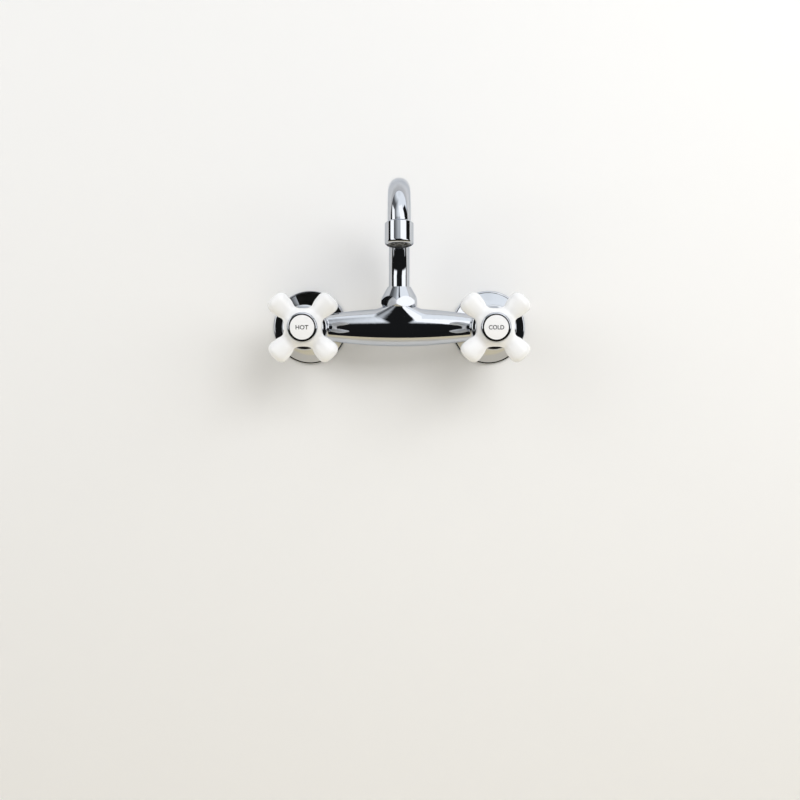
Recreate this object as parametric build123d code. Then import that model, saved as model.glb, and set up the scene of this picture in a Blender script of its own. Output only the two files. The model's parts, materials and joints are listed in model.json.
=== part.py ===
from build123d import *
import os
from math import asin, cos, radians, sin, sqrt, tan

# Wall-mounted two-handle mixer tap with a swivelling swan-neck spout. Millimetres, +Z up.
# The wall is the plane Y = 0 and the tap stands out of it towards -Y.
# The origin lies midway between the two wall inlets, on the wall.
# A stand-off is a distance from the wall; a height is taken from the axis of the bar.

# Layout
INLET_PITCH = 150.0  # between the two wall inlets, and between the two handles
INLET_RISE = 8.0  # offset of the eccentric unions: the bar lies this far above the inlets
BODY_STANDOFF = 48.0  # wall to the axis of the bar and of the spout

# Clearances
THREAD_GAP = 0.05  # radial, between the two halves of a screwed joint
RUNNING_GAP = 0.05  # radial, round a shaft or plug that turns in its bore
LOOSE_GAP = 0.3  # between pieces that pass each other without a fit
FACE_GAP = 0.05  # between faces that slide on each other or are clamped together
SOCKET_GAP = 0.1  # radial, round a piece that is pushed into its seat
LAND = 0.2  # flat strip that a full rounding leaves

# Eccentric union and escutcheon
WALL_THREAD_D = 20.955  # G 1/2
WALL_THREAD_L = 16.0
TAP_THREAD_D = 26.441  # G 3/4
UNION_BLOCK_D = 25.0  # round the wall thread, where the union steps sideways
UNION_BLOCK_T = 7.0
UNION_STEP_WALL = 1.75  # floor beyond each bore, where the two overlap
UNION_WALL_BORE = 13.0
UNION_TAP_BORE = 16.0
THREAD_CHAMFER = 1.0
ESCUTCHEON_D = 62.0
ESCUTCHEON_HEIGHT = 12.5
ESCUTCHEON_TOP_D = 33.0
ESCUTCHEON_RIM_W = 1.8
ESCUTCHEON_RIM_T = 2.2
ESCUTCHEON_BULGE = 0.3  # rise of the face's middle above a straight cone
ESCUTCHEON_FACE_ROUND = 30.0
ESCUTCHEON_TOP_ROUND = 1.0
ESCUTCHEON_WALL = 1.2
ESCUTCHEON_COLLAR = 4.0  # length of thread inside the escutcheon's neck

# Union nut, tail and washer
UNION_NUT_AF = 30.0
UNION_NUT_SETBACK = 1.0  # between the escutcheon and the nut
UNION_NUT_LIP = 2.0
INLET_WASHER_T = 2.0
INLET_WASHER_BORE = 15.0
TAIL_COLLAR_D = 25.2
TAIL_COLLAR_T = 2.5
TAIL_NECK_D = 21.6
TAIL_NECK_L = 4.0
TAIL_THREAD_D = 19.0
TAIL_THREAD_L = 7.0
TAIL_BORE = 14.0

# Mixer body
HOUSING_D = 35.0
HOUSING_L = 29.0
HOUSING_BACK_ROUND = 3.0
HOUSING_FRONT_ROUND = 1.2
BAR_MID_D = 30.6
BAR_END_D = 14.4  # on the axis of a valve, inside the housing
BAR_ROOT_ROUND = 1.5
CHANNEL_D = 9.6
BOSS_D = 27.0  # under the nut, round
BOSS_TOP = 16.8
BOSS_FOOT = 2.0  # where its oval foot ends, inside the bar
BOSS_SPREAD = 36.0  # how much wider the foot is along the bar, each side
BOSS_LEAN = 1.6  # how much deeper the foot is, front and back
BOSS_SPARE = 3.0  # made too tall by this, then faced off
BOSS_ROUND = 10.0  # where it runs out into the bar
STUB_WALL = 2.1775  # round the spout's plug; it makes the stub a G 1/2 thread
STUB_L = 9.2
SEAT_WALL = 2.5
SEAT_PORT_D = 12.0
CHAMBER_D = 22.0

# Headwork: a quarter-turn cartridge with two ceramic discs
HEADWORK_THREAD_D = 20.955  # G 1/2
HEADWORK_SHOULDER = 0.5  # solid wall between the windows and the thread
CAGE_D = 18.4
CAGE_BORE = 15.0
CAGE_LIFT = 0.6  # the cage stops short of the seat, and the seal stands out
WINDOW_W = 8.0
HEX_AF = 24.0
HEX_T = 4.5
GASKET_T = 1.0
GASKET_D = 23.4
NECK_D = 14.0
NECK_PROUD = 0.5  # neck beyond the bonnet
SEAL_T = 2.5
SEAL_BORE = 10.4
DISC_T = 2.5
DISC_SLOT_DEPTH = 0.8
PORT_INNER_R = 1.8
PORT_OUTER_R = 5.6
PORT_ANGLE = 80.0
FOOT_W = 5.0
FOOT_T = 3.5
SPINDLE_D = 10.0
SPINDLE_SQUARE = 7.0
SPINDLE_GROOVE_D = 7.0
SPINDLE_RING_SECTION = 1.5
SPINDLE_RING_SETBACK = 4.0  # ring's middle, behind the end of the neck
CLIP_T = 1.0
CLIP_D = 12.6
CLIP_GROOVE_D = 8.4
CLIP_MOUTH = 60.0  # opening of the clip, in degrees

# Bonnet
BONNET_D = 36.0
BONNET_HEIGHT = 12.5
BONNET_SKIRT = 6.5
BONNET_SHOULDER_D = 28.0
BONNET_SHOULDER_RISE = 1.0
BONNET_TOP_D = 25.0
BONNET_WALL = 1.5
BONNET_ROUND = 1.5

# Handle
HANDLE_SPAN = 65.2  # tip to tip
ARM_COUNT = 4
ARM_TURN = 45.0  # first arm from the horizontal, with the valve closed
ARM_ROOT_W = 9.6  # an arm's sides flare from this width on the handle's axis
ARM_END_W = 20.4  # to this width at the tip
ARM_END_ROUND = 6.0
ARM_GAP_ROUND = 9.8  # between one arm and the next
CROSS_T = 15.5
HUB_SEAT_D = 24.0
HUB_SEAT_SPREAD = 6.0  # the seat's cone is this much wider at its foot
HUB_SEAT_DEPTH = 4.0
INSERT_D = 16.0
INSERT_FLANGE_D = 22.0
INSERT_FLANGE_T = 1.2
INSERT_GAP = 0.3  # between the spindle's shoulder and the insert
SOCKET_DEPTH = 8.7
SCREW_FLOOR = 2.0
CUP_D = 11.2
SCREW_D = 4.0
SCREW_L = 9.0  # in the spindle
SCREW_HEAD_D = 7.2
SCREW_HEAD_T = 2.4
SCREW_HEAD_ROUND = 0.8
SCREW_SLOT_W = 1.0
SCREW_SLOT_DEPTH = 1.2
RING_D = 23.6
RING_T = 3.4
RING_FLOOR = 1.0
RING_ROUND = 1.6
STEM_L = 3.0
STEM_BORE = 7.6
BUTTON_D = 19.0
BUTTON_EDGE = 2.4
BUTTON_CROWN = 0.7

# Spout
TUBE_D = 16.5
TUBE_WALL = 1.2
SPOUT_APEX = 104.0  # height of the tube's centre line at its top
ARCH_R = 62.0  # from upright to level
CROWN_R = 150.0  # the flat top of the arch
CROWN_TURN = 16.0
BEND_R = 29.6  # down to the outlet
OUTLET_TILT = 12.0  # outlet's axis from the vertical, forwards
TUBE_TAIL = 6.85  # straight end of the tube
SPIGOT_DEPTH = 19.0
SPIGOT_BORE = 11.0
SPIGOT_SLEEVE_L = 10.0
SPOUT_FLANGE_W = 1.35  # beyond the tube
SPOUT_FLANGE_T = 2.0
SLIP_RING_T = 1.4
SLIP_RING_SLIT = 1.5
SPOUT_RING_SECTION = 2.0
SPOUT_GROOVE_DEPTH = 1.6
SPOUT_RING_SPACING = 6.0
SPOUT_NUT_AF = 27.0
SPOUT_NUT_TURN = 22.0  # about the spout's axis
SPOUT_NUT_TOP_W = 0.65  # rim round the nut's mouth
SPOUT_NUT_CROWN = 3.3  # thickness above the slip ring
SPOUT_NUT_SLOPE = 0.57  # growth of the cone's radius per millimetre down
SPOUT_NUT_BEVEL = 2.2  # height of the bevel under its corners
NUT_CHAMFER = 1.2

# Aerator
COLLAR_W = 2.0  # beyond the tube
COLLAR_L = 16.5
COLLAR_TOP_BEVEL = 1.0
COLLAR_SOCKET = 5.0  # depth that the tube goes in
COLLAR_STEP = 2.0  # shoulder under the tube
COLLAR_LIP_W = 2.05
AERATOR_RECESS = 1.2  # insert's face, above the collar's lip
AERATOR_WASHER_T = 1.5
SCREEN_T = 0.6
SCREEN_HOLE_D = 1.0
SCREEN_PITCH = 1.7
SCREEN_RINGS = 3
INSERT_WALL = 2.0
INSERT_GRID_T = 2.0
INSERT_CORE_D = 3.0
INSERT_VANES = 6
VANE_W = 0.9

# Stand-offs along each valve, worked out from the sizes above
housing_back = BODY_STANDOFF - HOUSING_L / 2
housing_front = BODY_STANDOFF + HOUSING_L / 2
tail_collar_front = housing_back - TAIL_NECK_L
tail_collar_back = tail_collar_front - TAIL_COLLAR_T
union_end = tail_collar_back - INLET_WASHER_T
union_nut_back = ESCUTCHEON_HEIGHT + UNION_NUT_SETBACK
union_nut_front = tail_collar_front + FACE_GAP + UNION_NUT_LIP
seat = housing_back + TAIL_THREAD_L + SEAT_WALL
fixed_disc_back = seat + SEAL_T
turning_disc_back = fixed_disc_back + DISC_T + FACE_GAP
turning_disc_front = turning_disc_back + DISC_T
foot_back = turning_disc_front - DISC_SLOT_DEPTH + FACE_GAP
foot_front = turning_disc_front + FOOT_T
headwork_shoulder = foot_front + FACE_GAP
thread_back = headwork_shoulder + HEADWORK_SHOULDER
hex_back = housing_front + GASKET_T
hex_front = hex_back + HEX_T
bonnet_back = housing_front + FACE_GAP
bonnet_front = housing_front + BONNET_HEIGHT
neck_end = bonnet_front + NECK_PROUD
clip_back = neck_end + FACE_GAP
shaft_end = clip_back + CLIP_T + FACE_GAP
insert_back = shaft_end + INSERT_GAP
cross_back = insert_back + INSERT_FLANGE_T
cross_front = cross_back + CROSS_T
socket_end = insert_back + SOCKET_DEPTH
spindle_end = socket_end - FACE_GAP
screw_seat = socket_end + SCREW_FLOOR
ring_front = cross_front + RING_T
button_back = cross_front + RING_FLOOR

# Diameters that follow the tube's
stub_d = TUBE_D + 2 * (RUNNING_GAP + STUB_WALL)
spout_flange_d = TUBE_D + 2 * SPOUT_FLANGE_W
spout_nut_mouth_d = TUBE_D + 2 * LOOSE_GAP
spout_nut_top_d = spout_nut_mouth_d + 2 * SPOUT_NUT_TOP_W
collar_d = TUBE_D + 2 * COLLAR_W
aerator_bore = collar_d - 2 * COLLAR_LIP_W

# Heights along the spout's foot
stub_top = BOSS_TOP + STUB_L
flange_bottom = stub_top + FACE_GAP
flange_top = flange_bottom + SPOUT_FLANGE_T
slip_ring_top = flange_top + SLIP_RING_T
nut_shoulder = slip_ring_top + FACE_GAP
spout_nut_bottom = BOSS_TOP + FACE_GAP
spout_nut_top = nut_shoulder + SPOUT_NUT_CROWN

# Places along the aerator, from the collar's top edge
washer_top = COLLAR_SOCKET + COLLAR_STEP
screen_top = washer_top + AERATOR_WASHER_T
insert_top = screen_top + SCREEN_T
insert_bottom = COLLAR_L - AERATOR_RECESS

SIDES = {"hot": -1, "cold": 1}


def lathe(*corners):
    """Solid of revolution about Z. A corner is (radius, height) or (radius, height, rounding)."""
    face = make_face(Polyline(*[corner[:2] for corner in corners], close=True))
    for corner in corners:
        if len(corner) == 3:
            vertex = face.vertices().sort_by_distance(Vector(*corner[:2]))[0]
            face = fillet(vertex, corner[2])
    return revolve(Plane.XZ * face, Axis.Z)


def rod(diameter, low, high):
    """Cylinder on the Z axis between two heights."""
    return Pos(0, 0, low) * extrude(Circle(diameter / 2), amount=high - low)


def tube(outer_d, inner_d, low, high):
    """Plain ring on the Z axis between two heights."""
    return Pos(0, 0, low) * extrude(Circle(outer_d / 2) - Circle(inner_d / 2), amount=high - low)


def hexagon(across_flats, low, high):
    """Hexagonal prism on the Z axis between two heights."""
    outline = RegularPolygon(across_flats / 2, 6, major_radius=False)
    return Pos(0, 0, low) * extrude(outline, amount=high - low)


def sectors(inner_r, outer_r, angle, count, turn, low, high):
    """Equal ring sectors about Z, for ports."""
    ring = tube(2 * outer_r, 2 * inner_r, low, high)
    reach = 2 * outer_r
    half = radians(angle / 2)
    wedge = make_face(
        Polyline(
            (0, 0),
            (reach, -reach * sin(half) / cos(half)),
            (reach, reach * sin(half) / cos(half)),
            close=True,
        )
    )
    cutter = Pos(0, 0, low) * extrude(wedge, amount=high - low)
    return [Rot(0, 0, turn + 360 / count * i) * (ring & cutter) for i in range(count)]


def o_ring(inner_r, outer_r, middle, section):
    """Rubber ring in its groove, squeezed flat between the groove and the bore."""
    half = section / 2
    rounding = min(section, outer_r - inner_r) / 2 - LAND / 2
    return lathe(
        (inner_r, middle - half, rounding),
        (outer_r, middle - half, rounding),
        (outer_r, middle + half, rounding),
        (inner_r, middle + half, rounding),
    )


def valve_place(side):
    """Frame of one valve: X right, Y up, Z the stand-off."""
    return Plane(
        origin=(SIDES[side] * INLET_PITCH / 2, 0, INLET_RISE),
        x_dir=(1, 0, 0),
        z_dir=(0, -1, 0),
    ).location


spout_place = Location((0, -BODY_STANDOFF, INLET_RISE))


# Wall connection

def eccentric_union():
    wall_axis = Pos(0, -INLET_RISE, 0)
    wall_r = WALL_THREAD_D / 2
    tap_r = TAP_THREAD_D / 2
    block_outline = make_hull((Circle(tap_r) + wall_axis * Circle(UNION_BLOCK_D / 2)).edges())
    block = extrude(block_outline, amount=UNION_BLOCK_T)
    wall_thread = wall_axis * lathe(
        (0, 0),
        (wall_r, 0),
        (wall_r, -WALL_THREAD_L + THREAD_CHAMFER),
        (wall_r - THREAD_CHAMFER, -WALL_THREAD_L),
        (0, -WALL_THREAD_L),
    )
    tap_thread = lathe(
        (0, UNION_BLOCK_T),
        (tap_r, UNION_BLOCK_T),
        (tap_r, union_end - THREAD_CHAMFER),
        (tap_r - THREAD_CHAMFER, union_end),
        (0, union_end),
    )
    wall_bore = wall_axis * rod(UNION_WALL_BORE, -WALL_THREAD_L, UNION_BLOCK_T - UNION_STEP_WALL)
    tap_bore = rod(UNION_TAP_BORE, UNION_STEP_WALL, union_end)
    return block + wall_thread + tap_thread - wall_bore - tap_bore


def escutcheon():
    rim_r = ESCUTCHEON_D / 2
    foot_r = rim_r - ESCUTCHEON_RIM_W
    top_r = ESCUTCHEON_TOP_D / 2
    hole_r = TAP_THREAD_D / 2 + THREAD_GAP
    shoulder_r = (foot_r + top_r) / 2
    shoulder_z = (ESCUTCHEON_RIM_T + ESCUTCHEON_HEIGHT) / 2 + ESCUTCHEON_BULGE
    wall = ESCUTCHEON_WALL
    collar_bottom = ESCUTCHEON_HEIGHT - ESCUTCHEON_COLLAR
    return lathe(
        (rim_r, 0),
        (rim_r, ESCUTCHEON_RIM_T, ESCUTCHEON_RIM_W - LAND),
        (foot_r, ESCUTCHEON_RIM_T),
        (shoulder_r, shoulder_z, ESCUTCHEON_FACE_ROUND),
        (top_r, ESCUTCHEON_HEIGHT, ESCUTCHEON_TOP_ROUND),
        (hole_r, ESCUTCHEON_HEIGHT),
        (hole_r, collar_bottom),
        (hole_r + wall, collar_bottom),
        (hole_r + wall, ESCUTCHEON_HEIGHT - wall),
        (top_r - wall, ESCUTCHEON_HEIGHT - wall),
        (shoulder_r - wall, shoulder_z - wall, ESCUTCHEON_FACE_ROUND - wall),
        (foot_r - wall, ESCUTCHEON_RIM_T - wall),
        (foot_r - wall, 0),
    )


def union_nut():
    corner_r = UNION_NUT_AF / sqrt(3)
    envelope = lathe(
        (0, union_nut_back),
        (corner_r - NUT_CHAMFER, union_nut_back),
        (corner_r, union_nut_back + NUT_CHAMFER),
        (corner_r, union_nut_front - NUT_CHAMFER),
        (corner_r - NUT_CHAMFER, union_nut_front),
        (0, union_nut_front),
    )
    lip_back = union_nut_front - UNION_NUT_LIP
    thread = rod(TAP_THREAD_D + 2 * THREAD_GAP, union_nut_back, lip_back)
    lip = rod(TAIL_NECK_D + 2 * LOOSE_GAP, lip_back, union_nut_front)
    return (hexagon(UNION_NUT_AF, union_nut_back, union_nut_front) & envelope) - thread - lip


def inlet_washer():
    return tube(TAIL_COLLAR_D - 2 * SOCKET_GAP, INLET_WASHER_BORE, union_end, tail_collar_back)


def union_tail():
    collar = rod(TAIL_COLLAR_D, tail_collar_back, tail_collar_front)
    neck = rod(TAIL_NECK_D, tail_collar_front, housing_back)
    thread = rod(TAIL_THREAD_D, housing_back, housing_back + TAIL_THREAD_L)
    bore = rod(TAIL_BORE, tail_collar_back, housing_back + TAIL_THREAD_L)
    return collar + neck + thread - bore


# Mixer body

def bar():
    """Spindle-shaped bar along X, on the tap's own axis."""
    half = INLET_PITCH / 2
    end_r = BAR_END_D / 2
    outline = [
        Line((-half, 0), (-half, end_r)),
        ThreePointArc((-half, end_r), (0, BAR_MID_D / 2), (half, end_r)),
        Line((half, end_r), (half, 0)),
        Line((half, 0), (-half, 0)),
    ]
    return revolve(make_face(outline), Axis.X)


def housing():
    """One valve housing, in the valve's frame."""
    r = HOUSING_D / 2
    return lathe(
        (0, housing_back),
        (r, housing_back, HOUSING_BACK_ROUND),
        (r, housing_front, HOUSING_FRONT_ROUND),
        (0, housing_front),
    )


def valve_bores():
    """What is machined out of one housing, in the valve's frame."""
    return [
        rod(TAIL_THREAD_D + 2 * THREAD_GAP, housing_back, housing_back + TAIL_THREAD_L),
        rod(SEAT_PORT_D, housing_back, seat),
        rod(CHAMBER_D, seat, thread_back),
        rod(HEADWORK_THREAD_D + 2 * THREAD_GAP, thread_back, housing_front),
    ]


def boss_oval(height):
    """Outline of the boss at a height: round under the nut, and a long oval at its foot."""
    share = (BOSS_TOP - height) / (BOSS_TOP - BOSS_FOOT)
    r = BOSS_D / 2
    return Plane.XY.offset(height) * Ellipse(r + share * BOSS_SPREAD, r + share * BOSS_LEAN)


def is_seam(edge):
    """True for an edge where the boss comes out of the bar."""
    span = (edge @ 1 - edge @ 0).length
    plain = (GeomType.LINE, GeomType.CIRCLE, GeomType.ELLIPSE)
    return edge.geom_type not in plain and span < edge.length - LAND


def mixer_body():
    # The boss is blended into the bar at full height, then faced off for the nut and given its stub.
    boss = loft([boss_oval(BOSS_FOOT), boss_oval(BOSS_TOP + BOSS_SPARE)], ruled=True)
    body = bar() + boss
    body = spout_place * fillet(body.edges().filter_by(is_seam), BOSS_ROUND)
    body = body - spout_place * rod(INLET_PITCH, BOSS_TOP, stub_top + STUB_L)
    body = body + spout_place * rod(stub_d, 0, stub_top)
    housings = [valve_place(side) * housing() for side in SIDES]
    body = body + housings
    root_x = INLET_PITCH / 2 - HOUSING_D / 2
    roots = body.edges().filter_by(
        lambda edge: edge.geom_type not in (GeomType.LINE, GeomType.CIRCLE)
        and abs(edge.center().X) > root_x
    )
    body = fillet(roots, BAR_ROOT_ROUND)
    for side in SIDES:
        body = body - [valve_place(side) * cutter for cutter in valve_bores()]
    channel = Rot(0, 90, 0) * rod(CHANNEL_D, -INLET_PITCH / 2, INLET_PITCH / 2)
    spout_bore = rod(TUBE_D + 2 * RUNNING_GAP, 0, stub_top)
    return body - spout_place * channel - spout_place * spout_bore


# Headwork

def headwork():
    solid = rod(CAGE_D, seat + CAGE_LIFT, thread_back)
    solid += rod(HEADWORK_THREAD_D, thread_back, hex_back)
    solid += hexagon(HEX_AF, hex_back, hex_front)
    solid += rod(NECK_D, hex_front, neck_end)
    solid -= rod(CAGE_BORE, seat + CAGE_LIFT, headwork_shoulder)
    solid -= rod(SPINDLE_D + 2 * RUNNING_GAP, headwork_shoulder, neck_end)
    window = Box(2 * CAGE_D, WINDOW_W, foot_front - turning_disc_front)
    return solid - Pos(0, 0, (turning_disc_front + foot_front) / 2) * window


def headwork_gasket():
    return tube(GASKET_D, HEADWORK_THREAD_D + 2 * SOCKET_GAP, housing_front, hex_back)


def headwork_seal():
    return tube(CAGE_BORE - 2 * SOCKET_GAP, SEAL_BORE, seat, fixed_disc_back)


def disc_blank(back):
    return rod(CAGE_BORE - 2 * SOCKET_GAP, back, back + DISC_T)


def fixed_disc():
    ports = sectors(
        PORT_INNER_R, PORT_OUTER_R, PORT_ANGLE, 2, 0, fixed_disc_back, fixed_disc_back + DISC_T
    )
    return disc_blank(fixed_disc_back) - ports


def turning_disc():
    # Closed at rest: its ports stand a quarter turn from those of the fixed disc.
    ports = sectors(
        PORT_INNER_R, PORT_OUTER_R, PORT_ANGLE, 2, 90, turning_disc_back, turning_disc_front
    )
    slot = Box(2 * CAGE_BORE, FOOT_W + 2 * SOCKET_GAP, 2 * DISC_SLOT_DEPTH)
    return disc_blank(turning_disc_back) - ports - Pos(0, 0, turning_disc_front) * slot


def spindle():
    foot_bar = Box(2 * CAGE_BORE, FOOT_W, foot_front - foot_back)
    foot = Pos(0, 0, (foot_front + foot_back) / 2) * foot_bar
    foot = foot & rod(CAGE_BORE - 2 * LOOSE_GAP, foot_back, foot_front)
    shaft = rod(SPINDLE_D, foot_front, shaft_end)
    drive = extrude(Rectangle(SPINDLE_SQUARE, SPINDLE_SQUARE), amount=spindle_end - shaft_end)
    ring_middle = neck_end - SPINDLE_RING_SETBACK
    ring_half = SPINDLE_RING_SECTION / 2 + SOCKET_GAP
    ring_groove = tube(
        2 * SPINDLE_D, SPINDLE_GROOVE_D, ring_middle - ring_half, ring_middle + ring_half
    )
    clip_groove = tube(
        2 * SPINDLE_D, CLIP_GROOVE_D, clip_back - FACE_GAP, clip_back + CLIP_T + FACE_GAP / 2
    )
    screw_hole = rod(SCREW_D + 2 * THREAD_GAP, spindle_end - SCREW_L - SCREW_D / 2, spindle_end)
    solid = foot + shaft + Pos(0, 0, shaft_end) * drive
    return solid - ring_groove - clip_groove - screw_hole


def spindle_o_ring():
    middle = neck_end - SPINDLE_RING_SETBACK
    return o_ring(SPINDLE_GROOVE_D / 2, SPINDLE_D / 2, middle, SPINDLE_RING_SECTION)


def spindle_clip():
    ring = tube(CLIP_D, CLIP_GROOVE_D + 2 * FACE_GAP, clip_back, clip_back + CLIP_T)
    mouth = sectors(CLIP_GROOVE_D / 4, CLIP_D, CLIP_MOUTH, 1, 90, clip_back - CLIP_T, clip_back + 2 * CLIP_T)
    return ring - mouth


def bonnet():
    r = BONNET_D / 2
    shoulder_r = BONNET_SHOULDER_D / 2
    top_r = BONNET_TOP_D / 2
    hole_r = NECK_D / 2 + THREAD_GAP
    wall = BONNET_WALL
    skirt = bonnet_back + BONNET_SKIRT
    shoulder = skirt + BONNET_SHOULDER_RISE
    return lathe(
        (r, bonnet_back),
        (r, skirt, BONNET_ROUND),
        (shoulder_r, shoulder, BONNET_ROUND),
        (top_r, bonnet_front, BONNET_ROUND),
        (hole_r, bonnet_front),
        (hole_r, bonnet_front - wall),
        (top_r - wall, bonnet_front - wall),
        (shoulder_r - wall, shoulder - wall),
        (r - wall, skirt - wall),
        (r - wall, bonnet_back),
    )


# Handle

def cross_outline():
    """Plan of the cross: flared arms with round ends and a round gap between each two."""
    tip = HANDLE_SPAN / 2
    root_half = ARM_ROOT_W / 2
    end_half = ARM_END_W / 2
    half_step = 180 / ARM_COUNT
    flare = (end_half - root_half) / tip
    corner_x = root_half / (tan(radians(half_step)) - flare)
    gap_corner = Vector(corner_x, -corner_x * tan(radians(half_step)))
    corners = []
    for i in range(ARM_COUNT):
        turn = ARM_TURN + 2 * half_step * i
        for corner in (gap_corner, Vector(tip, -end_half), Vector(tip, end_half)):
            corners.append(corner.rotate(Axis.Z, turn))
    outline = make_face(Polyline(*corners, close=True))
    outline = fillet(outline.vertices().sort_by_distance((0, 0, 0))[ARM_COUNT:], ARM_END_ROUND)
    return fillet(outline.vertices().sort_by_distance((0, 0, 0))[:ARM_COUNT], ARM_GAP_ROUND)


def handle_cross():
    plate = Pos(0, 0, cross_back) * extrude(cross_outline(), amount=CROSS_T)
    faces = plate.faces().sort_by(Axis.Z)
    rims = faces[0].edges() + faces[-1].edges()
    plate = fillet(rims, min(ARM_END_ROUND, CROSS_T / 2) - LAND)
    seat_r = HUB_SEAT_D / 2
    seat_cone = lathe(
        (0, cross_front - HUB_SEAT_DEPTH),
        (seat_r + HUB_SEAT_SPREAD / 2, cross_front - HUB_SEAT_DEPTH),
        (seat_r, cross_front),
        (0, cross_front),
    )
    back_seat = rod(INSERT_FLANGE_D, cross_back, cross_back + HUB_SEAT_DEPTH)
    return plate + seat_cone + back_seat - rod(INSERT_D + 2 * SOCKET_GAP, cross_back, cross_front)


def handle_insert():
    solid = rod(INSERT_FLANGE_D, insert_back, cross_back)
    solid += rod(INSERT_D, cross_back, cross_front - FACE_GAP)
    side = SPINDLE_SQUARE + 2 * SOCKET_GAP
    socket = Pos(0, 0, insert_back) * extrude(Rectangle(side, side), amount=SOCKET_DEPTH)
    solid -= socket
    solid -= rod(SCREW_D + 2 * SOCKET_GAP, socket_end, screw_seat)
    return solid - rod(CUP_D, screw_seat, cross_front)


def handle_screw():
    head_top = screw_seat + SCREW_HEAD_T
    head = lathe(
        (0, screw_seat),
        (SCREW_HEAD_D / 2, screw_seat),
        (SCREW_HEAD_D / 2, head_top, SCREW_HEAD_ROUND),
        (0, head_top),
    )
    shank = rod(SCREW_D, spindle_end - SCREW_L, screw_seat)
    slot = Pos(0, 0, head_top) * Box(2 * SCREW_HEAD_D, SCREW_SLOT_W, 2 * SCREW_SLOT_DEPTH)
    return head + shank - slot


def index_ring():
    r = RING_D / 2
    recess_r = BUTTON_D / 2 + SOCKET_GAP
    stem_r = CUP_D / 2 - THREAD_GAP
    return lathe(
        (STEM_BORE / 2, cross_front - STEM_L),
        (stem_r, cross_front - STEM_L),
        (stem_r, cross_front),
        (r, cross_front),
        (r, ring_front, RING_ROUND),
        (recess_r, ring_front),
        (recess_r, button_back),
        (STEM_BORE / 2, button_back),
    )


def index_button():
    r = BUTTON_D / 2
    edge = button_back + BUTTON_EDGE
    crown = edge + BUTTON_CROWN
    dome_r = (r**2 + BUTTON_CROWN**2) / (2 * BUTTON_CROWN)
    half_arc = asin(r / dome_r) / 2
    on_dome = (dome_r * sin(half_arc), crown - dome_r * (1 - cos(half_arc)))
    outline = [
        Line((0, button_back), (r, button_back)),
        Line((r, button_back), (r, edge)),
        ThreePointArc((r, edge), on_dome, (0, crown)),
        Line((0, crown), (0, button_back)),
    ]
    return revolve(Plane.XZ * make_face(outline), Axis.Z)


# Spout, in the frame of its own axis

def spout_path():
    """Centre line of the tube: x is the reach from the spout's axis, y the height."""
    upright = Line((0, flange_top), (0, SPOUT_APEX - ARCH_R))
    arch = JernArc(upright @ 1, upright % 1, ARCH_R, -90)
    crown = JernArc(arch @ 1, arch % 1, CROWN_R, -CROWN_TURN)
    bend = JernArc(crown @ 1, crown % 1, BEND_R, -(90 - OUTLET_TILT - CROWN_TURN))
    tail = Line(bend @ 1, (bend @ 1) + (bend % 1) * TUBE_TAIL)
    plane = Plane(origin=(0, 0, 0), x_dir=(0, -1, 0), z_dir=(-1, 0, 0))
    return [plane.location * edge for edge in (upright, arch, crown, bend, tail)]


def spout_tube():
    section = Circle(TUBE_D / 2) - Circle(TUBE_D / 2 - TUBE_WALL)
    return sweep(Pos(0, 0, flange_top) * section, path=Wire(spout_path()))


def spigot_ring_heights():
    middle = stub_top - SPIGOT_DEPTH / 2
    return [middle - SPOUT_RING_SPACING / 2, middle + SPOUT_RING_SPACING / 2]


def spout_spigot():
    sleeve_d = TUBE_D - 2 * TUBE_WALL - 2 * SOCKET_GAP
    solid = rod(TUBE_D, stub_top - SPIGOT_DEPTH, flange_bottom)
    solid += rod(spout_flange_d, flange_bottom, flange_top)
    solid += rod(sleeve_d, flange_top, flange_top + SPIGOT_SLEEVE_L)
    solid -= rod(SPIGOT_BORE, stub_top - SPIGOT_DEPTH, flange_top + SPIGOT_SLEEVE_L)
    half = SPOUT_RING_SECTION / 2 + SOCKET_GAP
    groove_d = TUBE_D - 2 * SPOUT_GROOVE_DEPTH
    for height in spigot_ring_heights():
        solid -= tube(2 * TUBE_D, groove_d, height - half, height + half)
    return solid


def spout_o_rings():
    outer_r = TUBE_D / 2
    inner_r = outer_r - SPOUT_GROOVE_DEPTH
    heights = spigot_ring_heights()
    return Compound(children=[o_ring(inner_r, outer_r, z, SPOUT_RING_SECTION) for z in heights])


def spout_slip_ring():
    ring = tube(spout_flange_d, TUBE_D + 2 * FACE_GAP, flange_top, slip_ring_top)
    slit = Pos(0, spout_flange_d / 2, flange_top) * Box(SLIP_RING_SLIT, spout_flange_d, 4 * SLIP_RING_T)
    return ring - slit


def spout_nut():
    corner_r = SPOUT_NUT_AF / sqrt(3)
    top_r = spout_nut_top_d / 2
    cone_foot = spout_nut_top - (corner_r - top_r) / SPOUT_NUT_SLOPE
    envelope = lathe(
        (0, spout_nut_bottom),
        (SPOUT_NUT_AF / 2, spout_nut_bottom),
        (corner_r, spout_nut_bottom + SPOUT_NUT_BEVEL),
        (corner_r, cone_foot),
        (top_r, spout_nut_top),
        (0, spout_nut_top),
    )
    prism = Rot(0, 0, SPOUT_NUT_TURN) * hexagon(SPOUT_NUT_AF, spout_nut_bottom, spout_nut_top)
    thread = rod(stub_d + 2 * THREAD_GAP, spout_nut_bottom, nut_shoulder)
    mouth = rod(spout_nut_mouth_d, nut_shoulder, spout_nut_top)
    return (prism & envelope) - thread - mouth


# Aerator, along the outlet's axis from the collar's top edge

def outlet_place():
    tail = spout_path()[-1]
    direction = tail % 1
    top = (tail @ 1) - direction * COLLAR_SOCKET
    return spout_place * Plane(origin=top, x_dir=(1, 0, 0), z_dir=direction).location


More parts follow.
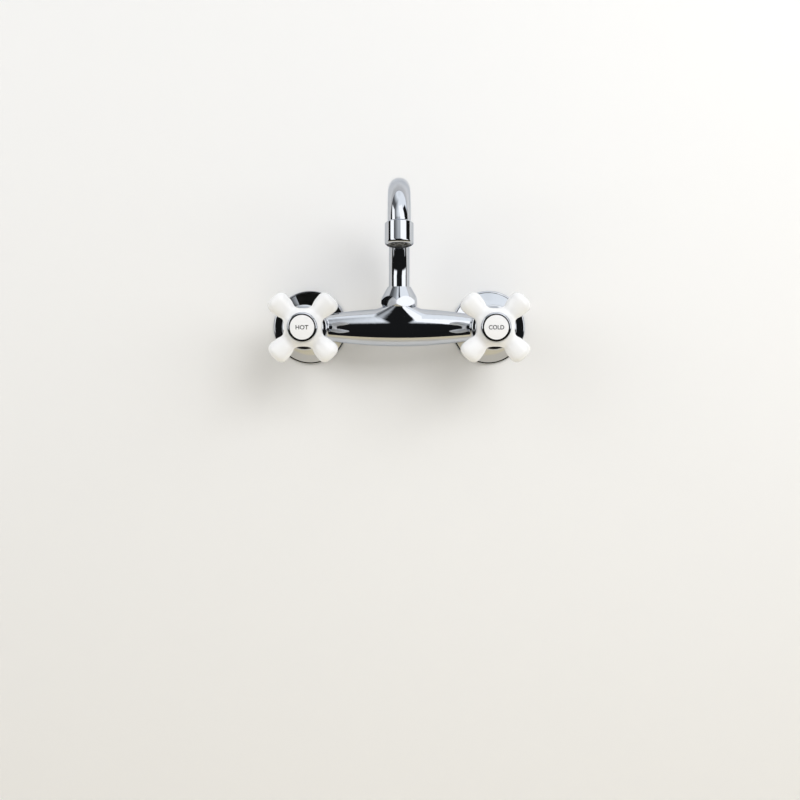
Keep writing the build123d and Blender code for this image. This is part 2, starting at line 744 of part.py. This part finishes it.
def aerator_housing():
    r = collar_d / 2
    socket_r = TUBE_D / 2 + THREAD_GAP
    passage_r = TUBE_D / 2 - TUBE_WALL
    chamber_r = aerator_bore / 2
    return lathe(
        (socket_r, 0),
        (r - COLLAR_TOP_BEVEL, 0),
        (r, COLLAR_TOP_BEVEL),
        (r, COLLAR_L, r - chamber_r - LAND),
        (chamber_r, COLLAR_L),
        (chamber_r, washer_top),
        (passage_r, washer_top),
        (passage_r, COLLAR_SOCKET),
        (socket_r, COLLAR_SOCKET),
    )


def aerator_washer():
    bore = TUBE_D - 2 * TUBE_WALL
    return tube(aerator_bore - 2 * SOCKET_GAP, bore - 2 * TUBE_WALL, washer_top, screen_top)


def aerator_screen():
    blank = Circle(aerator_bore / 2 - SOCKET_GAP)
    holes = Sketch() + Circle(SCREEN_HOLE_D / 2)
    for ring in range(1, SCREEN_RINGS + 1):
        holes += PolarLocations(ring * SCREEN_PITCH, 6 * ring) * Circle(SCREEN_HOLE_D / 2)
    return Pos(0, 0, screen_top) * extrude(blank - holes, amount=SCREEN_T)


def aerator_insert():
    outer_d = aerator_bore - 2 * THREAD_GAP
    inner_d = outer_d - 2 * INSERT_WALL
    solid = tube(outer_d, inner_d, insert_top, insert_bottom)
    grid_top = insert_bottom - INSERT_GRID_T
    solid += rod(INSERT_CORE_D, grid_top, insert_bottom)
    middle_d = (inner_d + INSERT_CORE_D) / 2
    solid += tube(middle_d + VANE_W, middle_d - VANE_W, grid_top, insert_bottom)
    vane_l = (inner_d - INSERT_CORE_D) / 2 + VANE_W
    vane = Pos((inner_d + INSERT_CORE_D) / 4, 0, 0) * Rectangle(vane_l, VANE_W)
    for i in range(INSERT_VANES):
        blade = extrude(Rot(0, 0, 360 / INSERT_VANES * i) * vane, amount=INSERT_GRID_T)
        solid += Pos(0, 0, grid_top) * blade
    return solid


VALVE_PIECES = {
    "escutcheon": escutcheon,
    "eccentric_union": eccentric_union,
    "union_nut": union_nut,
    "inlet_washer": inlet_washer,
    "union_tail": union_tail,
    "headwork": headwork,
    "headwork_gasket": headwork_gasket,
    "headwork_seal": headwork_seal,
    "fixed_disc": fixed_disc,
    "turning_disc": turning_disc,
    "spindle": spindle,
    "spindle_o_ring": spindle_o_ring,
    "spindle_clip": spindle_clip,
    "bonnet": bonnet,
    "handle_cross": handle_cross,
    "handle_insert": handle_insert,
    "handle_screw": handle_screw,
    "index_ring": index_ring,
    "index_button": index_button,
}
SPOUT_PIECES = {
    "spout_nut": spout_nut,
    "spout_tube": spout_tube,
    "spout_spigot": spout_spigot,
    "spout_o_rings": spout_o_rings,
    "spout_slip_ring": spout_slip_ring,
}
AERATOR_PIECES = {
    "aerator_housing": aerator_housing,
    "aerator_washer": aerator_washer,
    "aerator_screen": aerator_screen,
    "aerator_insert": aerator_insert,
}


def main():
    nodes = {"mixer_body": mixer_body()}
    for name, make in VALVE_PIECES.items():
        piece = make()
        for side in SIDES:
            nodes[f"{side}_{name}"] = valve_place(side) * piece
    for name, make in SPOUT_PIECES.items():
        nodes[name] = spout_place * make()
    for name, make in AERATOR_PIECES.items():
        nodes[name] = outlet_place() * make()
    os.makedirs("parts", exist_ok=True)
    for name, shape in nodes.items():
        export_step(shape, f"parts/{name}.step")


main()
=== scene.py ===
import json
from math import atan2, copysign, cos, pi, radians, sin

import bmesh
import bpy
from mathutils import Matrix, Vector


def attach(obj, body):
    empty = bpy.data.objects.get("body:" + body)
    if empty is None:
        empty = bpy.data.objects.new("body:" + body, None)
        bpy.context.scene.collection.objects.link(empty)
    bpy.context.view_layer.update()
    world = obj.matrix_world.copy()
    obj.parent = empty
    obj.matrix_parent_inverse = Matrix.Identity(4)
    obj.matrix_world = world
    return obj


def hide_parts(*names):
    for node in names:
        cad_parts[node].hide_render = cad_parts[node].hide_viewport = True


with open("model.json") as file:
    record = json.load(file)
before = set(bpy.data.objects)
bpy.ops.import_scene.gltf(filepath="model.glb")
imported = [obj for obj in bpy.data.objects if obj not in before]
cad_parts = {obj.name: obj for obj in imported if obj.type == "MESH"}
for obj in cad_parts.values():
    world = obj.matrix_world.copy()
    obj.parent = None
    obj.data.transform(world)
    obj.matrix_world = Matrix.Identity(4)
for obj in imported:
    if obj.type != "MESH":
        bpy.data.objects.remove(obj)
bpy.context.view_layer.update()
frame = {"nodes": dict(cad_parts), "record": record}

# A polished two-handle wall mixer on a pale wall. Metres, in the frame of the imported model:
# the wall is the plane Y = 0, the tap stands out of it towards -Y, and Z is up.

MM = 0.001
MERGE = 1e-5
SIDES = {"hot": -1, "cold": 1}

# Camera of the photograph
CAMERA_PLACE = (0.0006, -1.120, 0.004)
CAMERA_PITCH = radians(-2.92)
CAMERA_LENS = 59.6
CAMERA_SENSOR = 36.0

# Stage: a wall that runs down into a floor through a round cove
WALL_Y = 0.0006
WALL_TOP = 1.3
STAGE_HALF_WIDTH = 1.6
FLOOR_Z = -0.85
NEAR_FLOOR = -0.43  # polished metal shows the floor only up to here
FLOOR_FRONT = -1.6
COVE_R = 0.25
COVE_STEPS = 24
WALL_COLOURS = (  # by height
    (FLOOR_Z, (0.94, 0.84, 0.61)),
    (FLOOR_Z + 0.03, (0.82, 0.77, 0.67)),
    (-0.66, (0.82, 0.78, 0.71)),
    (-0.42, (0.915, 0.914, 0.912)),
    (0.30, (0.915, 0.92, 0.927)),
    (0.50, (0.70, 0.70, 0.71)),
)

# Lamps: a tall soft box on each side, and one in front on the right for the shadow under the tap.
# Bearings are from the tap's front and heights from the level, in degrees.
AMBIENT = 0.43
BOX_REACH = 1.4
BOX_BEARING = 50
BOX_HEIGHT = 22
BOX_SIZE = (0.95, 1.13)
BOX_POWER = 5.1, 5.5  # left, right
FRONT_BOX_PLACE = (0.45, -1.2, 0.55)
FRONT_BOX_TARGET = (0, -0.06, 0.02)
FRONT_BOX_SIZE = (0.5, 0.5)
FRONT_BOX_POWER = 5.2

# Surround, which is what polished metal shows: a dark room in front of the tap, a pale ceiling that
# falls off to the left, and on each side a leaning soft box with a dark panel beyond it.
ROOM_DARK = 0.012
CEILING = (  # height, level
    (-90, 0.012),
    (21, 0.014),
    (25, 0.30),
    (29, 0.75),
    (34, 1.15),
    (40, 1.28),
    (75, 1.25),
    (90, 1.1),
)
CEILING_TINT = (0.965, 1.0, 1.035)
CEILING_FALL = ((-50, 0.1), (-8, 1.0))  # bearing, share of the ceiling's level
CEILING_EVEN = ((50, 0), (74, 1))  # height, how far the fall is made up
LEAN = 0.72
PANELS = (  # bearings at the level, heights, brightness
    ((-106, -62), (-70, 44), ROOM_DARK),
    ((78, 108), (-70, 44), ROOM_DARK),
    ((-62, -28), (-4, 39), 1.6),
    ((32, 78), (-4, 55), 1.6),
)
PANEL_EDGE = 2.0
BACK_LEVEL = 0.5  # behind the wall
BACK_EDGE = ((12, 0), (40, 1))  # angle past the wall, share of that level

# Black card over the hot escutcheon, in millimetres
CARD_PLACE = (-76, -15, 50)
CARD_SIZE = (44, 26)
CARD_TILT = 10  # degrees, away from the spout

# Valves, in millimetres. A stand-off is a distance from the wall.
VALVE_X = 75.0
VALVE_Z = 8.0
CROSS_BACK = 78.1
PIPE_HOLE_R = 27.0  # in the wall, behind each escutcheon

# Porcelain cross: the cage of a subdivision surface, from the cross's back plane
HUB_R = 16.3
HUB_SIDES = 8
HUB_HEIGHTS = (2.6, 12.9)
SEAT_STEPS = ((13.2, 15.5), (11.6, 15.5), (9.05, 15.5))  # radius, height
BACK_STEPS = ((12.4, 0.0), (10.05, 0.0), (9.05, 0.0))
ARM_MIDDLE = 7.75
ARM_STEPS = (  # reach, half width, half thickness
    (19.0, 9.0, 6.9),
    (24.5, 9.7, 8.0),
    (28.6, 10.3, 8.75),
    (32.2, 7.6, 6.6),
    (33.3, 3.0, 2.7),
)
CROSS_LEVELS = 3

# Word on each button, laid on its dome
WORDS = {"hot": ("HOT", 9.9), "cold": ("COLD", 11.9)}  # text, width
WORD_HEIGHT = 3.4
WORD_PROUD = 0.04
WORD_SUNK = 0.15
WORD_WEIGHT = 0.02
BUTTON_R = 9.5
DOME_RISE = 0.7
DOME_TOP = 97.7


# Materials

class Graph:
    """Adds nodes to one node tree."""

    def __init__(self, tree):
        self.tree = tree

    def node(self, kind, **settings):
        made = self.tree.nodes.new(kind)
        for key, value in settings.items():
            setattr(made, key, value)
        return made

    def link(self, source, target):
        self.tree.links.new(source, target)

    def math(self, operation, *values):
        made = self.node("ShaderNodeMath", operation=operation)
        for socket, value in zip(made.inputs, values):
            if isinstance(value, (int, float)):
                socket.default_value = value
            else:
                self.link(value, socket)
        return made.outputs[0]

    def ramp(self, source, *stops):
        """Colour ramp; a stop is (position, grey level or colour)."""
        made = self.node("ShaderNodeValToRGB")
        elements = made.color_ramp.elements
        while len(elements) < len(stops):
            elements.new(0.5)
        for element, (position, value) in zip(elements, stops):
            element.position = position
            element.color = (value, value, value, 1) if isinstance(value, float) else (*value, 1)
        self.link(source, made.inputs["Fac"])
        return made.outputs["Color"]


class Finish(Graph):
    """One node material round a Principled shader, on object coordinates."""

    def __init__(self, name):
        self.material = bpy.data.materials.new(name)
        self.material.use_nodes = True
        super().__init__(self.material.node_tree)
        self.shader = self.tree.nodes["Principled BSDF"]
        self.place = self.node("ShaderNodeTexCoord").outputs["Object"]

    def set(self, **values):
        for key, value in values.items():
            self.shader.inputs[key.replace("_", " ")].default_value = value

    def noise(self, scale, detail=3.0, roughness=0.5):
        made = self.node("ShaderNodeTexNoise")
        made.inputs["Scale"].default_value = scale
        made.inputs["Detail"].default_value = detail
        made.inputs["Roughness"].default_value = roughness
        self.link(self.place, made.inputs["Vector"])
        return made.outputs["Fac"]

    def mottle(self, scale, low, high):
        """Two levels or colours, mixed by a fine noise."""
        return self.ramp(self.noise(scale), (0.3, low), (0.7, high))

    def colour(self, source):
        self.link(source, self.shader.inputs["Base Color"])

    def roughness(self, source):
        self.link(source, self.shader.inputs["Roughness"])

    def bump(self, source, strength, distance):
        made = self.node("ShaderNodeBump")
        made.inputs["Strength"].default_value = strength
        made.inputs["Distance"].default_value = distance
        self.link(source, made.inputs["Height"])
        self.link(made.outputs["Normal"], self.shader.inputs["Normal"])

    def behind(self):
        return self.node("ShaderNodeNewGeometry").outputs["Backfacing"]

    def clear(self, where):
        """Lets everything through where the value is 1."""
        mix = self.node("ShaderNodeMixShader")
        self.link(where, mix.inputs["Fac"])
        self.link(self.shader.outputs["BSDF"], mix.inputs[1])
        self.link(self.node("ShaderNodeBsdfTransparent").outputs["BSDF"], mix.inputs[2])
        self.link(mix.outputs["Shader"], self.tree.nodes["Material Output"].inputs["Surface"])


def chrome_plate():
    finish = Finish("chrome_plate")
    finish.set(Metallic=1.0, Specular_Tint=(0.72, 0.75, 0.80, 1))
    finish.colour(finish.mottle(35.0, (0.575, 0.595, 0.63), (0.605, 0.625, 0.66)))
    finish.roughness(finish.ramp(finish.noise(120.0, 5.0), (0.35, 0.02), (0.75, 0.055)))
    finish.bump(finish.noise(70.0, 1.0), 0.012, 0.001)
    return finish.material


def porcelain_glaze():
    finish = Finish("porcelain_glaze")
    finish.set(Coat_Weight=0.25, Coat_Roughness=0.03, IOR=1.52)
    finish.colour(finish.mottle(60.0, (0.93, 0.937, 0.95), (0.95, 0.957, 0.97)))
    finish.roughness(finish.mottle(200.0, 0.08, 0.14))
    finish.bump(finish.noise(160.0, 2.0), 0.02, 0.001)
    return finish.material


def machined_brass():
    finish = Finish("machined_brass")
    finish.set(Metallic=1.0)
    finish.colour(finish.mottle(90.0, (0.60, 0.43, 0.19), (0.72, 0.54, 0.27)))
    finish.roughness(finish.mottle(300.0, 0.22, 0.38))
    finish.bump(finish.noise(500.0), 0.05, 0.0005)
    return finish.material


def black_rubber():
    finish = Finish("black_rubber")
    finish.colour(finish.mottle(400.0, (0.016, 0.016, 0.017), (0.03, 0.03, 0.032)))
    finish.roughness(finish.mottle(600.0, 0.55, 0.75))
    finish.bump(finish.noise(1500.0), 0.1, 0.0003)
    return finish.material


def lapped_ceramic():
    finish = Finish("lapped_ceramic")
    finish.colour(finish.mottle(150.0, (0.80, 0.76, 0.68), (0.86, 0.83, 0.77)))
    finish.roughness(finish.mottle(500.0, 0.2, 0.3))
    return finish.material


def plain_steel():
    finish = Finish("plain_steel")
    finish.set(Metallic=1.0)
    finish.colour(finish.mottle(200.0, (0.50, 0.50, 0.51), (0.58, 0.58, 0.59)))
    finish.roughness(finish.mottle(700.0, 0.25, 0.4))
    return finish.material


def moulded_nylon():
    finish = Finish("moulded_nylon")
    finish.colour(finish.mottle(250.0, (0.095, 0.098, 0.102), (0.13, 0.134, 0.138)))
    finish.roughness(finish.mottle(600.0, 0.28, 0.42))
    finish.bump(finish.noise(900.0), 0.06, 0.0003)
    return finish.material


def fired_lettering():
    finish = Finish("fired_lettering")
    finish.colour(finish.mottle(900.0, (0.012, 0.012, 0.016), (0.03, 0.03, 0.036)))
    finish.roughness(finish.mottle(900.0, 0.2, 0.35))
    return finish.material


FINISHES = {
    "chrome": chrome_plate(),
    "porcelain": porcelain_glaze(),
    "brass": machined_brass(),
    "rubber": black_rubber(),
    "disc_ceramic": lapped_ceramic(),
    "steel": plain_steel(),
    "nylon": moulded_nylon(),
}


def dress_nodes():
    """Gives every CAD node the finish of its material slot."""
    for row in frame["record"]["subparts"]:
        mesh = frame["nodes"][row["node"]].data
        mesh.materials.clear()
        mesh.materials.append(FINISHES[row["material_slot"]])


def make_object(name, bm, material):
    mesh = bpy.data.meshes.new(name)
    bm.to_mesh(mesh)
    bm.free()
    mesh.materials.append(material)
    made = bpy.data.objects.new(name, mesh)
    bpy.context.scene.collection.objects.link(made)
    return made


# Handles

def valve_frame(side):
    """From millimetres about one valve (right, up, stand-off) to the shared frame."""
    place = Matrix.Translation((SIDES[side] * VALVE_X * MM, 0, VALVE_Z * MM))
    return place @ Matrix.Rotation(pi / 2, 4, "X") @ Matrix.Scale(MM, 4)


def handle_piece(side, name, bm, material):
    piece = make_object(f"{side}_{name}", bm, material)
    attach(piece, f"{side}_handle")
    return piece


def step_face(bm, face, place):
    """Extrudes one face and puts its corners where place() says."""
    face = bmesh.ops.extrude_discrete_faces(bm, faces=[face])["faces"][0]
    for corner in face.verts:
        corner.co = place(corner.co)
    return face


def grow_arm(bm, face):
    turn = Matrix.Rotation(atan2(face.normal.y, face.normal.x), 3, "Z")
    back = turn.transposed()
    for reach, half_width, half_thickness in ARM_STEPS:

        def place(corner):
            local = back @ corner
            side = copysign(half_width, local.y)
            height = ARM_MIDDLE + copysign(half_thickness, local.z - ARM_MIDDLE)
            return turn @ Vector((reach, side, height))

        face = step_face(bm, face, place)


def step_cap(bm, face, steps):
    for radius, height in steps:

        def place(corner):
            out = Vector((corner.x, corner.y, 0)).normalized() * radius
            return out + Vector((0, 0, height))

        face = step_face(bm, face, place)
    return face


def is_diagonal(face):
    return abs(face.normal.x * face.normal.y) > 0.4


def porcelain_cross(side):
    bm = bmesh.new()
    low, high = HUB_HEIGHTS
    bmesh.ops.create_cone(
        bm, cap_ends=True, segments=HUB_SIDES, radius1=HUB_R, radius2=HUB_R, depth=high - low
    )
    bmesh.ops.translate(bm, verts=bm.verts, vec=(0, 0, (high + low) / 2))
    first = max(bm.faces, key=lambda face: face.normal.x)
    turn = -atan2(first.normal.y, first.normal.x)
    bmesh.ops.rotate(bm, verts=bm.verts, matrix=Matrix.Rotation(turn, 3, "Z"))
    bm.normal_update()
    front = max(bm.faces, key=lambda face: face.normal.z)
    back = min(bm.faces, key=lambda face: face.normal.z)
    for face in [face for face in bm.faces if is_diagonal(face)]:
        grow_arm(bm, face)
    front = step_cap(bm, front, SEAT_STEPS)
    back = step_cap(bm, back, BACK_STEPS)
    rims = [*front.edges, *back.edges]
    bmesh.ops.delete(bm, geom=[front, back], context="FACES_ONLY")
    bmesh.ops.bridge_loops(bm, edges=rims)
    bmesh.ops.recalc_face_normals(bm, faces=bm.faces)
    place = valve_frame(side) @ Matrix.Translation((0, 0, CROSS_BACK))
    bmesh.ops.transform(bm, matrix=place, verts=bm.verts)
    for face in bm.faces:
        face.smooth = True
    piece = handle_piece(side, "porcelain_cross", bm, FINISHES["porcelain"])
    soften = piece.modifiers.new("soften", "SUBSURF")
    soften.levels = CROSS_LEVELS
    soften.render_levels = CROSS_LEVELS
    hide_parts(f"{side}_handle_cross")


def flat_word(word):
    """Flat mesh of a word in the built-in font."""
    curve = bpy.data.curves.new(word, "FONT")
    curve.body = word
    curve.offset = WORD_WEIGHT
    writing = bpy.data.objects.new(word, curve)
    bm = bmesh.new()
    bm.from_mesh(writing.to_mesh())
    writing.to_mesh_clear()
    bpy.data.objects.remove(writing)
    bpy.data.curves.remove(curve)
    bmesh.ops.remove_doubles(bm, verts=bm.verts, dist=MERGE)
    return bm


def button_word(side, material):
    word, width = WORDS[side]
    bm = flat_word(word)
    spans = [[corner.co[axis] for corner in bm.verts] for axis in (0, 1)]
    middle = [(max(span) + min(span)) / 2 for span in spans]
    size = [max(span) - min(span) for span in spans]
    bmesh.ops.translate(bm, verts=bm.verts, vec=(-middle[0], -middle[1], 0))
    bmesh.ops.scale(bm, verts=bm.verts, vec=(width / size[0], WORD_HEIGHT / size[1], 1))
    raised = bmesh.ops.extrude_face_region(bm, geom=bm.faces[:])["geom"]
    tops = [item for item in raised if isinstance(item, bmesh.types.BMVert)]
    bmesh.ops.translate(bm, verts=tops, vec=(0, 0, WORD_PROUD + WORD_SUNK))
    dome_r = (BUTTON_R**2 + DOME_RISE**2) / (2 * DOME_RISE)
    for corner in bm.verts:
        sag = (corner.co.x**2 + corner.co.y**2) / (2 * dome_r)
        corner.co.z += DOME_TOP - sag - WORD_SUNK
    bmesh.ops.recalc_face_normals(bm, faces=bm.faces)
    bmesh.ops.transform(bm, matrix=valve_frame(side), verts=bm.verts)
    handle_piece(side, "word", bm, material)


# Stage

def stage_object(name, bm, material):
    made = make_object(name, bm, material)
    return made


def wall_paint():
    """Pale paint, warmer on the floor and greyer high up.

    It is clear from behind and in the holes for the pipes, to show the tap's back.
    """
    finish = Finish("wall_paint")
    parts = finish.node("ShaderNodeSeparateXYZ")
    finish.link(finish.place, parts.inputs["Vector"])
    height = finish.node("ShaderNodeMapRange")
    height.inputs["From Min"].default_value = FLOOR_Z
    height.inputs["From Max"].default_value = WALL_TOP
    finish.link(parts.outputs["Z"], height.inputs["Value"])
    stops = [((z - FLOOR_Z) / (WALL_TOP - FLOOR_Z), colour) for z, colour in WALL_COLOURS]
    finish.colour(finish.ramp(height.outputs["Result"], *stops))
    finish.set(Roughness=0.7)
    finish.bump(finish.noise(90.0, 6.0), 0.04, 0.001)
    across = finish.math("SUBTRACT", finish.math("ABSOLUTE", parts.outputs["X"]), VALVE_X * MM)
    up = finish.math("SUBTRACT", parts.outputs["Z"], VALVE_Z * MM)
    squares = [finish.math("MULTIPLY", value, value) for value in (across, up)]
    hole = finish.math("LESS_THAN", finish.math("ADD", *squares), (PIPE_HOLE_R * MM) ** 2)
    finish.clear(finish.math("MAXIMUM", hole, finish.behind()))
    return finish.material


def run_on(bm, edge, step):
    """Carries a strip on from its last edge."""
    grown = bmesh.ops.extrude_edge_only(bm, edges=[edge])["geom"]
    corners = [item for item in grown if isinstance(item, bmesh.types.BMVert)]
    bmesh.ops.translate(bm, verts=corners, vec=step)
    return next(item for item in grown if isinstance(item, bmesh.types.BMEdge))


def strip_start(bm, place):
    y, z = place
    ends = [bm.verts.new((x, y, z)) for x in (-STAGE_HALF_WIDTH, STAGE_HALF_WIDTH)]
    return bm.edges.new(ends)


def face_the_tap(bm):
    bmesh.ops.remove_doubles(bm, verts=bm.verts, dist=MERGE)
    bmesh.ops.recalc_face_normals(bm, faces=bm.faces)
    upper = max(bm.faces, key=lambda face: face.calc_center_median().z)
    if upper.normal.y > 0.5 or upper.normal.z < -0.5:
        bmesh.ops.reverse_faces(bm, faces=bm.faces)
    for face in bm.faces:
        face.smooth = True


def build_stage():
    paint = wall_paint()
    bm = bmesh.new()
    edge = run_on(bm, strip_start(bm, (WALL_Y, WALL_TOP)), (0, 0, FLOOR_Z + COVE_R - WALL_TOP))
    turned = bmesh.ops.spin(
        bm,
        geom=[edge, *edge.verts],
        cent=(0, WALL_Y - COVE_R, FLOOR_Z + COVE_R),
        axis=(1, 0, 0),
        angle=-pi / 2,
        steps=COVE_STEPS,
    )
    edge = next(item for item in turned["geom_last"] if isinstance(item, bmesh.types.BMEdge))
    run_on(bm, edge, (0, NEAR_FLOOR - (WALL_Y - COVE_R), 0))
    face_the_tap(bm)
    stage_object("wall_and_floor", bm, paint)

    bm = bmesh.new()
    run_on(bm, strip_start(bm, (NEAR_FLOOR, FLOOR_Z)), (0, FLOOR_FRONT - NEAR_FLOOR, 0))
    face_the_tap(bm)
    far_floor = stage_object("far_floor", bm, paint)
    far_floor.visible_glossy = False


def build_card():
    """Black card over the hot escutcheon, which only polished metal under it shows."""
    finish = Finish("card_cloth")
    finish.colour(finish.mottle(40.0, 0.004, 0.008))
    finish.set(Roughness=0.9)
    finish.clear(finish.behind())
    bm = bmesh.new()
    bmesh.ops.create_grid(bm, x_segments=1, y_segments=1, size=0.5 * MM)
    bmesh.ops.scale(bm, verts=bm.verts, vec=(*CARD_SIZE, 1))
    bmesh.ops.reverse_faces(bm, faces=bm.faces)
    bmesh.ops.rotate(bm, verts=bm.verts, matrix=Matrix.Rotation(radians(CARD_TILT), 3, "Y"))
    bmesh.ops.translate(bm, verts=bm.verts, vec=Vector(CARD_PLACE) * MM)
    card = stage_object("black_card", bm, finish.material)
    card.visible_camera = False
    card.visible_diffuse = False
    card.visible_shadow = False


# Light and camera

def soft_box(name, place, target, size, power):
    """Area lamp. Polished metal shows the panels of the surround in its place."""
    data = bpy.data.lights.new(name, "AREA")
    data.shape = "RECTANGLE"
    data.size, data.size_y = size
    data.energy = power
    lamp = bpy.data.objects.new(name, data)
    lamp.location = place
    lamp.rotation_euler = (Vector(target) - Vector(place)).to_track_quat("-Z", "Y").to_euler()
    lamp.visible_camera = False
    lamp.visible_glossy = False
    bpy.context.scene.collection.objects.link(lamp)


def build_light():
    out = BOX_REACH * cos(radians(BOX_HEIGHT))
    across = out * sin(radians(BOX_BEARING))
    forward = out * cos(radians(BOX_BEARING))
    up = BOX_REACH * sin(radians(BOX_HEIGHT))
    for name, x, power in zip(("left_box", "right_box"), (-across, across), BOX_POWER):
        soft_box(name, (x, -forward, up), (0, 0, 0), BOX_SIZE, power)
    soft_box("front_box", FRONT_BOX_PLACE, FRONT_BOX_TARGET, FRONT_BOX_SIZE, FRONT_BOX_POWER)


class Surround(Graph):
    """World of levels and soft edges, by bearing and height."""

    def __init__(self, name):
        world = bpy.data.worlds.new(name)
        bpy.context.scene.world = world
        world.use_nodes = True
        super().__init__(world.node_tree)
        self.direction = self.node("ShaderNodeSeparateXYZ")
        self.link(self.node("ShaderNodeTexCoord").outputs["Generated"], self.direction.inputs["Vector"])

    def slope(self, value, start, end, kind="LINEAR"):
        """Goes from one (angle, level) to another and stays level outside them."""
        made = self.node("ShaderNodeMapRange", interpolation_type=kind)
        settings = (radians(start[0]), radians(end[0]), start[1], end[1])
        for name, level in zip(("From Min", "From Max", "To Min", "To Max"), settings):
            made.inputs[name].default_value = level
        self.link(value, made.inputs["Value"])
        return made.outputs["Result"]

    def step_up(self, value, angle):
        return self.slope(value, (angle - PANEL_EDGE, 0), (angle + PANEL_EDGE, 1), "SMOOTHSTEP")

    def between(self, value, limits):
        return self.math("SUBTRACT", self.step_up(value, limits[0]), self.step_up(value, limits[1]))

    def blend(self, share, first, second):
        made = self.node("ShaderNodeMix", data_type="RGBA")
        self.link(share, made.inputs["Factor"])
        for socket, value in ((made.inputs["A"], first), (made.inputs["B"], second)):
            if isinstance(value, float):
                socket.default_value = (value, value, value, 1)
            else:
                self.link(value, socket)
        return made.outputs["Result"]


def build_world():
    """A plain soft level for the light, white for the camera, and the surround for polished metal."""
    world = Surround("studio")
    x, y, z = (world.direction.outputs[axis] for axis in "XYZ")
    bearing = world.math("ARCTAN2", x, world.math("MULTIPLY", y, -1))
    height = world.math("ARCSINE", z)
    leaning = world.math("ADD", bearing, world.math("MULTIPLY", height, LEAN))
    stops = [((angle + 90) / 180, [level * tint for tint in CEILING_TINT]) for angle, level in CEILING]
    ceiling = world.ramp(world.math("ADD", world.math("DIVIDE", height, pi), 0.5), *stops)
    fall = world.math("MAXIMUM", world.slope(bearing, *CEILING_FALL), world.slope(height, *CEILING_EVEN))
    shown = world.blend(fall, ROOM_DARK, ceiling)
    for bearings, heights, level in PANELS:
        panel = world.math("MULTIPLY", world.between(leaning, bearings), world.between(height, heights))
        shown = world.blend(panel, shown, level)
    shown = world.blend(world.slope(world.math("ARCSINE", y), *BACK_EDGE), shown, BACK_LEVEL)

    path = world.node("ShaderNodeLightPath").outputs
    seen = world.math("MAXIMUM", path["Is Camera Ray"], path["Is Transmission Ray"])
    colour = world.blend(seen, world.blend(path["Is Glossy Ray"], AMBIENT, shown), 1.0)
    world.link(colour, world.tree.nodes["Background"].inputs["Color"])


def build_camera():
    data = bpy.data.cameras.new("photo_camera")
    data.lens = CAMERA_LENS
    data.sensor_width = CAMERA_SENSOR
    camera = bpy.data.objects.new("photo_camera", data)
    camera.location = CAMERA_PLACE
    camera.rotation_euler = (pi / 2 + CAMERA_PITCH, 0, 0)
    bpy.context.scene.collection.objects.link(camera)
    bpy.context.scene.camera = camera


def main():
    bpy.context.scene.view_settings.view_transform = "Standard"
    dress_nodes()
    lettering = fired_lettering()
    for side in SIDES:
        porcelain_cross(side)
        button_word(side, lettering)
    build_stage()
    build_card()
    build_light()
    build_world()
    build_camera()


main()
